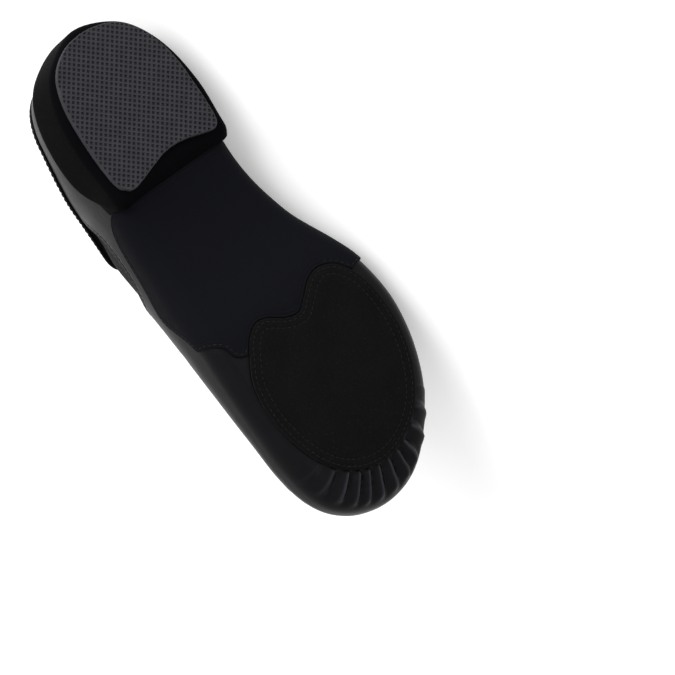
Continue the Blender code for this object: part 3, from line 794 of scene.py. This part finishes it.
class Finish:
    """A Principled material that is wired up by short calls."""

    def __init__(self, name, color, roughness, specular, **more):
        self.material = bpy.data.materials.new(name)
        self.material.use_nodes = True
        self.tree = self.material.node_tree
        self.shader = self.tree.nodes["Principled BSDF"]
        self.set("Base Color", (*color, 1.0))
        self.set("Roughness", roughness)
        self.set("Specular IOR Level", specular)
        for socket, value in more.items():
            self.set(socket.replace("_", " ").title(), value)
        self.normal = None
        back = SHOE.inverted()
        self.own = self.node("ShaderNodeMapping", {
            "Vector": self.node("ShaderNodeTexCoord").outputs["Object"],
            "Location": back.translation,
            "Rotation": back.to_euler(),
        }).outputs["Vector"]

    def set(self, socket, value):
        self.shader.inputs[socket].default_value = value

    def node(self, kind, inputs=(), **settings):
        made = self.tree.nodes.new(kind)
        for key, value in settings.items():
            setattr(made, key, value)
        for socket, value in dict(inputs).items():
            if isinstance(value, bpy.types.NodeSocket):
                self.tree.links.new(value, made.inputs[socket])
            else:
                made.inputs[socket].default_value = value
        return made

    def math(self, operation, first, second=0.0, third=0.0):
        inputs = {0: first, 1: second, 2: third}
        return self.node("ShaderNodeMath", inputs, operation=operation).outputs[0]

    def noise(self, scale, detail=2.0, rough=0.5):
        inputs = {"Vector": self.own, "Scale": scale, "Detail": detail, "Roughness": rough}
        return self.node("ShaderNodeTexNoise", inputs).outputs["Fac"]

    def cells(self, scale):
        return self.node("ShaderNodeTexVoronoi", {"Vector": self.own, "Scale": scale}).outputs["Distance"]

    def along_and_round(self, climb="ADD"):
        """Coordinates for weaves: along the shoe, and round it as the sum of width and height."""
        x, y, z = self.node("ShaderNodeSeparateXYZ", {0: self.own}).outputs
        return x, self.math(climb, self.math("ABSOLUTE", y), z)

    def threads(self, coordinate, pitch):
        """A round wave along a coordinate, from 0 to 1, one for each thread."""
        wave = self.math("SINE", self.math("MULTIPLY", coordinate, 2 * math.pi / pitch))
        return self.math("MULTIPLY_ADD", wave, 0.5, 0.5)

    def weave(self, along_pitch, around_pitch):
        """Threads along the shoe crossed with threads round it."""
        along, around = self.along_and_round()
        return self.math("MULTIPLY", self.threads(along, along_pitch), self.threads(around, around_pitch))

    def ranged(self, fac, low, high, start=0.0, end=1.0):
        """A value that goes from start to end as another goes from low to high."""
        inputs = {"Value": fac, "From Min": low, "From Max": high, "To Min": start, "To Max": end}
        return self.node("ShaderNodeMapRange", inputs).outputs["Result"]

    def tint(self, fac, dark, light, low=0.3, high=0.7):
        """Base colour between two, as a pattern goes from low to high."""
        inputs = {"Factor": self.ranged(fac, low, high), "A": (*dark, 1.0), "B": (*light, 1.0)}
        mixed = self.node("ShaderNodeMix", inputs, data_type="RGBA")
        self.tree.links.new(mixed.outputs["Result"], self.shader.inputs["Base Color"])

    def rough(self, fac, low, high):
        self.tree.links.new(self.ranged(fac, 0.0, 1.0, low, high), self.shader.inputs["Roughness"])

    def bump(self, height, distance, strength=1.0):
        inputs = {"Height": height, "Distance": distance, "Strength": strength}
        if self.normal is not None:
            inputs["Normal"] = self.normal
        self.normal = self.node("ShaderNodeBump", inputs).outputs["Normal"]
        self.tree.links.new(self.normal, self.shader.inputs["Normal"])


def leather_finish():
    """Soft black leather: fine grain, faint pores, a slowly changing gloss, painted pleat-crest highlights.
    """
    made = Finish("leather", (0.0050, 0.0046, 0.0058), 0.38, 0.075, coat_weight=0.02, coat_roughness=0.20)
    made.bump(made.cells(1500.0), 0.00006, 0.55)
    made.bump(made.noise(420.0, 4.0, 0.6), 0.00010, 0.45)
    made.bump(made.noise(60.0, 3.0), 0.00045, 0.35)
    made.rough(made.noise(95.0, 4.0, 0.65), 0.30, 0.46)
    # Lighter colour on the pleats' crests is a painted highlight; the noise added to it is the leather's
    # own uneven tone
    crest_highlight = made.node("ShaderNodeAttribute", attribute_name="crest").outputs["Fac"]
    tone_and_crest_highlight = made.math("MULTIPLY_ADD", made.noise(130.0, 3.0), 0.08, crest_highlight)
    made.tint(tone_and_crest_highlight, (0.0028, 0.0025, 0.0034), (0.0300, 0.0275, 0.0340), 0.0, 1.0)
    return made.material


def suede_finish():
    """Black suede: short nap in soft tufts, and rare lighter specks."""
    made = Finish("suede", (0.0042, 0.0042, 0.0045), 0.95, 0.05, sheen_weight=0.02, sheen_roughness=0.5)
    made.bump(made.noise(2600.0, 3.0, 0.7), 0.00018, 0.9)
    made.bump(made.noise(420.0, 4.0, 0.6), 0.00022, 0.5)
    speck = made.ranged(made.noise(1300.0, 2.0, 0.6), 0.60, 0.78)
    patchy = made.math("MULTIPLY_ADD", made.noise(70.0, 3.0), 0.30, speck)
    made.tint(patchy, (0.0030, 0.0031, 0.0034), (0.0120, 0.0110, 0.0102), 0.1, 1.0)
    return made.material


def stretch_finish():
    """Knitted stretch fabric: ribs one way, finer courses the other, a bluish black."""
    made = Finish("stretch_fabric", (0.0038, 0.0040, 0.0062), 0.82, 0.06, sheen_weight=0.01,
                  sheen_roughness=0.4)
    weave = made.weave(0.00055, 0.00080)
    made.bump(weave, 0.00010, 0.6)
    made.bump(made.noise(150.0, 3.0), 0.00025, 0.25)
    made.tint(weave, (0.0026, 0.0028, 0.0042), (0.0062, 0.0066, 0.0100), 0.0, 1.0)
    return made.material


def heel_fabric_finish():
    """Tighter black fabric stretched over the heel."""
    made = Finish("heel_fabric", (0.0026, 0.0025, 0.0032), 0.72, 0.012)
    weave = made.weave(0.0006, 0.0006)
    made.bump(weave, 0.00008, 0.6)
    made.bump(made.noise(90.0, 3.0), 0.0003, 0.25)
    made.rough(made.noise(45.0, 2.0), 0.58, 0.78)
    made.tint(weave, (0.0016, 0.0016, 0.0020), (0.0036, 0.0034, 0.0044), 0.0, 1.0)
    return made.material


def rubber_finish():
    """Dark grey rubber, dull, with dust in its grain."""
    made = Finish("rubber", (0.034, 0.032, 0.038), 0.62, 0.22)
    made.bump(made.noise(1900.0, 3.0, 0.6), 0.00005, 0.5)
    made.rough(made.noise(220.0, 3.0), 0.52, 0.72)
    made.tint(made.noise(160.0, 4.0), (0.0200, 0.0188, 0.0235), (0.0280, 0.0265, 0.0325))
    return made.material


def elastic_finish():
    """Ribbed elastic: raised cords along the throat with thread between them."""
    made = Finish("elastic", (0.004, 0.004, 0.005), 0.75, 0.08, sheen_weight=0.02)
    along, around = made.along_and_round("SUBTRACT")
    cords = made.threads(around, 0.0013)
    made.bump(cords, 0.00030, 0.8)
    made.bump(made.threads(along, 0.0006), 0.00006, 0.5)
    made.tint(cords, (0.0022, 0.0022, 0.0028), (0.0070, 0.0066, 0.0070), 0.0, 1.0)
    return made.material


def tape_finish():
    """Folded tape: fine grosgrain ribs across it."""
    made = Finish("tape", (0.005, 0.005, 0.006), 0.60, 0.16, sheen_weight=0.02)
    along, around = made.along_and_round()
    made.bump(made.threads(made.math("ADD", along, around), 0.0008), 0.00010, 0.7)
    made.bump(made.noise(500.0, 3.0), 0.00006, 0.4)
    made.tint(made.noise(260.0, 3.0), (0.0040, 0.0040, 0.0047), (0.0075, 0.0073, 0.0082))
    return made.material


def lining_finish():
    """Dark cotton lining inside."""
    made = Finish("lining", (0.050, 0.048, 0.050), 0.88, 0.15, sheen_weight=0.05)
    made.bump(made.weave(0.0007, 0.0007), 0.00009, 0.8)
    made.tint(made.noise(120.0, 3.0), (0.040, 0.038, 0.040), (0.056, 0.053, 0.055))
    return made.material


def edge_finish():
    """Cut edge of the suede, a little lighter than its face."""
    made = Finish("cut_edge", (0.014, 0.013, 0.012), 0.90, 0.08)
    made.bump(made.noise(1800.0, 3.0, 0.7), 0.00010, 0.8)
    made.tint(made.noise(500.0, 3.0), (0.0090, 0.0085, 0.0080), (0.0210, 0.0200, 0.0185))
    return made.material


def thread_finish():
    """Twisted black thread with a slight shine."""
    made = Finish("thread", (0.007, 0.0065, 0.0065), 0.60, 0.14)
    made.bump(made.noise(2500.0, 2.0), 0.00004, 0.6)
    made.tint(made.noise(300.0, 2.0), (0.0050, 0.0048, 0.0048), (0.0120, 0.0110, 0.0105))
    return made.material


# Soft shapes of the leather

def pleat_wave(form, outside):
    """Folds round the toe that lean over to the outer side: their height, from -1 to 1, and the
    crest lines alone, from 0 to 1, where a highlight is painted on the leather."""
    x, y, _ = form.points.T
    angle = np.degrees(np.arctan2(y, x - SPINE_END * LENGTH)) - PLEAT_LEAN * outside
    ridges, strengths = np.array(PLEATS[::-1]).T
    after = np.clip(np.searchsorted(ridges, angle), 1, len(ridges) - 1)
    low, high = ridges[after - 1], ridges[after]
    share = np.clip((angle - low) / (high - low), 0.0, 1.0)
    fall = np.where(share < PLEAT_VALLEY, share / PLEAT_VALLEY, (1.0 - share) / (1.0 - PLEAT_VALLEY))
    crest = np.sqrt(fall ** 2 + PLEAT_CREST ** 2) - PLEAT_CREST
    strength = strengths[after - 1] * (1.0 - share) + strengths[after] * share
    strength *= (angle > ridges[0]) & (angle < ridges[-1])
    return (1.0 - 2.0 * crest) * strength, np.clip(1.0 - fall / PLEAT_HIGHLIGHT_WIDTH, 0.0, 1.0) * strength


def leather_relief(form):
    """How far the leather stands out of the last, by pleats at the toe and soft creases elsewhere,
    and how strongly a highlight is painted along the pleats' crests."""
    outside = np.maximum(-field(form, PATCH_CURVE, SOLE), 0.0)
    grip = smooth(outside, 0.0002, PLEAT_RISE) * (1.0 - smooth(outside, PLEAT_HOLD, PLEAT_END))
    low = 1.0 - smooth(form.points[:, 2], PLEAT_FULL * TOE_HEIGHT, PLEAT_GONE * TOE_HEIGHT)
    wave, crest = pleat_wave(form, outside)
    relief = PLEAT_HEIGHT * wave * grip * low
    for x0, y0, x1, y1, floor, deep, wide in CREASES:
        start = np.array((x0 * LENGTH, y0 * BALL_WIDTH))
        end = np.array((x1 * LENGTH, y1 * BALL_WIDTH))
        edge = end - start
        offset = form.points[:, :2] - start
        share = offset @ edge / (edge @ edge)
        gap = np.linalg.norm(offset - np.clip(share, 0, 1)[:, None] * edge, axis=1) / wide
        ends = smooth(share, -0.15, 0.25) * (1.0 - smooth(share, 0.75, 1.15))
        high = smooth(form.points[:, 2], floor - 0.006, floor + 0.004)
        relief -= deep * (1.0 - 0.8 * gap ** 2) * np.exp(-gap ** 2) * ends * high
    return relief, crest * grip * low


# Pieces

def make_upper(leather, lining, thread):
    window = shifted(OUTLINE_CURVE, -LASTING_MARGIN - UNDER_INSET, closed=True)
    under = np.where(LAST.points[:, 2] < WIDEST_HEIGHT, -field(LAST, window, SOLE), FAR)
    # crest: where a highlight is painted along the pleats' crests
    relief, crest = leather_relief(LAST)
    outer, inner = LAST.skin(relief), LAST.skin(LINING_RELIEF * relief - LEATHER)
    sheet = Sheet(LAST, outer, inner, np.minimum(THROAT, under), [0.0002, 0.0006], THROAT_SEAMS, crest)
    sheet.back_seam(-FAR)
    on_throat = lambda point: point.x > (THROAT_START + 0.01) * LENGTH and point.z > ARCH_PANEL_HEIGHT
    runs = [run for level, _, _ in THROAT_SEAMS for run in sheet.runs(level, on_throat)]
    stitches("throat_stitches", runs, thread, "leather")
    upper = sheet.shell("leather_upper", 0.0006, [leather, lining], inner_finish=1)
    settle(upper, "leather", "upper")


def make_gore(elastic):
    lapped = enclosed(shifted(drawn(GORE_EDGE), GORE_LAP), y=FAR)
    kept = np.minimum(field(LAST, lapped, SIDE), OPENING)
    sheet = Sheet(LAST, LAST.skin(-LEATHER - GAP), LAST.skin(-LEATHER - GAP - ELASTIC), kept, [0.0005])
    settle(sheet.shell("elastic_gore", 0.0005, [elastic]), "elastic", "gore")


def make_arch_panel(fabric, thread):
    front = field(LAST, enclosed(drawn(ARCH_FRONT), x=-FAR), SOLE)
    notch = np.where(LOW, -field(LAST, shifted(PATCH_CURVE, GAP, closed=True), SOLE), FAR)
    cup = -field(LAST, enclosed(shifted(drawn(CUP_EDGE), -GAP), y=-FAR), SIDE)
    sides = field(LAST, enclosed(drawn(ARCH_EDGE), y=-FAR), SIDE)
    kept = np.minimum.reduce([front, notch, cup, sides])
    sheet = Sheet(LAST, LAST.skin(GAP + FABRIC), LAST.skin(GAP), kept, [0.0002, 0.0005], ARCH_SEAMS)
    clear = (FLANK_END + 0.012) * LENGTH
    on_edge = lambda point: point.x > clear and (abs(point.y) > 0.30 * BALL_WIDTH or point.z > ARCH_RISE)
    stitches("arch_stitches", sheet.runs(ARCH_SEAMS[0][0], on_edge), thread, "stretch_fabric")
    panel = sheet.shell("stretch_arch_panel", 0.0005, [fabric])
    settle(panel, "stretch_fabric", "arch_panel")


def make_heel_cup(fabric):
    kept = field(CUP_FORM, enclosed(drawn(CUP_EDGE), y=-FAR), SIDE)
    thin = smooth(CUP_FORM.points[:, 0], CUP_TAPER_START * LENGTH, CUP_TAPER_END * LENGTH)
    outer = CUP_FORM.skin(GAP + CUP_WALL - thin * (CUP_WALL - FABRIC))
    sheet = Sheet(CUP_FORM, outer, LAST.skin(GAP), kept, [0.0003, 0.0008])
    sheet.back_seam(CUP_BASE + 0.002)
    settle(sheet.shell("fabric_heel_cup", 0.0010, [fabric]), "heel_fabric", "heel_cup")


def make_sole_patch(suede, edge, thread):
    outer = LAST.skin(GAP + PATCH_THICK)
    sheet = Sheet(LAST, outer, LAST.skin(GAP), ON_PATCH, [0.0001, 0.0003, 0.0007], PATCH_SEAMS)
    runs = [run for level, _, _ in PATCH_SEAMS for run in sheet.runs(level)]
    stitches("sole_patch_stitches", runs, thread, "suede", bury=0.75)
    patch = sheet.shell("suede_sole_patch", 0.0007, [suede, edge], wall_finish=1)
    settle(patch, "suede", "sole_patch")


class Plate:
    """A flat form that a sheet can be cut from, such as the tread of the heel pad."""

    def __init__(self, points, faces):
        self.points, self.faces = points, faces
        self.normals = np.tile((0.0, 0.0, -1.0), (len(points), 1))


def make_heel_pad(rubber):
    """Rubber pad with rows of square pits between crossed ribs, inside a narrow plain border."""
    half = TREAD_PIT * TREAD_PITCH / 2
    bottom = TREAD_BOTTOM * half
    stops = (0.0, bottom, half, TREAD_PITCH / 2, TREAD_PITCH - half, TREAD_PITCH - bottom)
    count = int(TREAD_REACH * HEEL_WIDTH / TREAD_PITCH)
    line = np.array([i * TREAD_PITCH + stop for i in range(-count, count) for stop in stops])
    turn = math.radians(TREAD_TURN)
    across, along = (values.ravel() for values in np.meshgrid(line, line))
    x = across * math.cos(turn) - along * math.sin(turn) + HEEL_REST[0] * LENGTH
    y = across * math.sin(turn) + along * math.cos(turn)
    size = len(line)
    corners = [row * size + k for row in range(size - 1) for k in range(size - 1)]
    plate = Plate(np.column_stack([x, y, np.zeros(len(x))]),
                  [(k, k + 1, k + size + 1, k + size) for k in corners])
    kept = field(plate, drawn(PAD, closed=True), SOLE)
    near = np.maximum(*[np.abs((value + TREAD_PITCH / 2) % TREAD_PITCH - TREAD_PITCH / 2)
                        for value in (across, along)])
    pit = 1.0 - smooth(near, 0.50 * half, half)
    deep = TREAD_DEPTH * pit * smooth(kept, TREAD_RIM, TREAD_BORDER)
    outer = plate.points + np.column_stack([np.zeros((len(x), 2)), deep])
    inner = plate.points + np.array((0.0, 0.0, PAD_THICK))
    sheet = Sheet(plate, outer, inner, kept, [0.0002, 0.0005, TREAD_RIM, TREAD_BORDER])
    settle(sheet.shell("rubber_heel_pad", 0.0005, [rubber], rim_share=0.8), "rubber", "heel_pad")


def make_insole(lining):
    grid = []
    for x, angle in columns()[::2]:
        width = reach(Vector((x, 0.0)), angle)
        share = (x + width * math.cos(angle)) / LENGTH
        wide = (width - blend(SECTION, share, 1) * WIDEST_HEIGHT) * INSOLE_SHARE
        row = []
        for i in range(INSOLE_STEPS + 1):
            out = wide * i / INSOLE_STEPS
            spot = (x + math.cos(angle) * out, math.sin(angle) * out)
            row.append((*spot, last_underside(*spot) + LEATHER + GAP))
        grid.append(row)
    first, faces = welded(np.array(grid))
    plate = Plate(np.array(grid).reshape(-1, 3)[first], faces)
    outer = plate.points + np.array((0.0, 0.0, INSOLE_THICK))
    sheet = Sheet(plate, outer, plate.points, np.full(len(outer), FAR))
    settle(sheet.shell("lined_insole", 0.0005, [lining]), "lining", "insole")


def tape_section():
    """Section of the folded tape, from the foot of its outer leg over the edge to its inner leg, as
    metres out along the normal and metres up past the topline."""
    wall = LEATHER + 2 * GAP + ELASTIC
    outer, inner = GAP + TAPE, -wall - TAPE
    middle, half = (outer + inner) / 2, (outer - inner) / 2
    turns = [math.pi * i / FOLD_STEPS for i in range(FOLD_STEPS + 1)]
    over = [(middle + half * math.cos(turn), outer * math.sin(turn)) for turn in turns]
    back = [(middle - (half - TAPE) * math.cos(turn), GAP * math.sin(turn)) for turn in turns]
    foot = -TAPE_WIDTH
    leg = [(outer - 0.25 * TAPE, foot), (outer, foot + 0.4 * TAPE), (outer, foot / 2)]
    far_leg = [(inner, foot / 2), (inner, foot + 0.4 * TAPE), (inner + 0.25 * TAPE, foot)]
    return leg + over + far_leg + [(-wall, foot)] + back + [(GAP, foot)]


def make_binding(tape, thread):
    """Tape swept round the foot opening, along the line where the last meets the topline."""
    sheet = Sheet(LAST, LAST.points, LAST.skin(-LEATHER), OPENING)
    spots, normals, steps = line_arrays(max(sheet.runs(0.0), key=len))
    sheet.bm.free()
    places = np.arange(TAPE_STEPS) * steps[-1] / TAPE_STEPS
    middle, out = at_places(places, steps, spots), at_places(places, steps, normals)
    for _ in range(TAPE_SMOOTHING):
        middle = 0.5 * middle + 0.25 * (np.roll(middle, 1, axis=0) + np.roll(middle, -1, axis=0))
        out = 0.5 * out + 0.25 * (np.roll(out, 1, axis=0) + np.roll(out, -1, axis=0))
    out /= np.linalg.norm(out, axis=1, keepdims=True)
    along = np.roll(middle, -1, axis=0) - np.roll(middle, 1, axis=0)
    up = np.cross(out, along)
    up /= np.linalg.norm(up, axis=1, keepdims=True)
    if up[:, 2].mean() < 0:
        up = -up
    section = tape_section()
    points = [middle[i] + out[i] * away + up[i] * rise for i in range(TAPE_STEPS) for away, rise in section]
    faces = ring_faces(0, TAPE_STEPS, len(section), closed=True)
    settle(place("collar_tape", mesh_of("collar_tape", points, faces, [tape])), "tape", "collar_binding")
    seam = middle + out * (GAP + TAPE) - up * TAPE_WIDTH * TAPE_SEAM
    run = [(Vector(p.tolist()), Vector(n.tolist())) for p, n in zip(seam, out)]
    stitches("collar_stitches", [run + run[:1]], thread, "tape")


# Floor, light and camera

def camera_axes():
    """Right, up and towards the camera, in the shoe's own frame."""
    tilt, roll = math.radians(VIEW_TILT), math.radians(VIEW_ROLL)
    towards = Vector((0.0, math.sin(tilt), -math.cos(tilt)))
    forward = Vector((1.0, 0.0, 0.0))
    side = Vector((0.0, math.cos(tilt), math.sin(tilt)))
    right = forward * math.cos(roll) - side * math.sin(roll)
    up = -forward * math.sin(roll) - side * math.cos(roll)
    return [(SHOE.to_3x3() @ axis).normalized() for axis in (right, up, towards)]


def make_camera():
    right, up, towards = camera_axes()
    camera = add_object("camera", bpy.data.cameras.new("camera"))
    camera.data.sensor_width = SENSOR
    camera.data.lens = SENSOR * VIEW_DISTANCE / VIEW_WIDTH
    camera.data.clip_end = 20.0
    turn = Matrix((right, up, towards)).transposed().to_4x4()
    turn.translation = SHOE @ Vector(VIEW_TARGET) + towards * VIEW_DISTANCE
    camera.matrix_world = turn
    bpy.context.scene.camera = camera


def make_floor():
    mesh = bpy.data.meshes.new("floor")
    around = ((-1, -1), (1, -1), (1, 1), (-1, 1))
    mesh.from_pydata([(x * FLOOR_HALF, y * FLOOR_HALF, 0) for x, y in around], [], [(0, 1, 2, 3)])
    made = Finish("floor", (0.84, 0.84, 0.84), 0.85, 0.1)
    made.set("Emission Color", (1.0, 1.0, 1.0, 1.0))
    made.set("Emission Strength", FLOOR_GLOW)
    mesh.materials.append(made.material)
    floor = add_object("floor", mesh)


def add_light(name, direction, size, power):
    """A square soft light that looks at the shoe from a direction of the row frame."""
    lamp = bpy.data.lights.new(name, "AREA")
    lamp.size = size
    lamp.energy = power
    item = add_object(name, lamp)
    item.location = direction.normalized() * LAMP_DISTANCE
    item.rotation_mode = "QUATERNION"
    item.rotation_quaternion = direction.to_track_quat("Z", "Y")


def make_light():
    world = bpy.data.worlds.new("studio")
    world.use_nodes = True
    inputs = world.node_tree.nodes["Background"].inputs
    inputs["Color"].default_value = (1.0, 1.0, 1.0, 1.0)
    inputs["Strength"].default_value = ROOM_LIGHT
    bpy.context.scene.world = world
    bpy.context.scene.view_settings.view_transform = "Standard"
    right, up, towards = camera_axes()
    sky = Vector((0.0, 0.0, 1.0))
    add_light("key", sky + up * 0.9 - right * 0.5, KEY_SIZE, KEY_POWER)
    add_light("front", towards + up * 0.5 - right * 0.7, FRONT_SIZE, FRONT_POWER)


def main():
    make_camera()
    leather, suede, thread = leather_finish(), suede_finish(), thread_finish()
    lining = lining_finish()
    make_upper(leather, lining, thread)
    make_gore(elastic_finish())
    make_binding(tape_finish(), thread)
    make_arch_panel(stretch_finish(), thread)
    make_heel_cup(heel_fabric_finish())
    make_heel_pad(rubber_finish())
    make_sole_patch(suede, edge_finish(), thread)
    make_insole(lining)
    make_floor()
    make_light()


main()
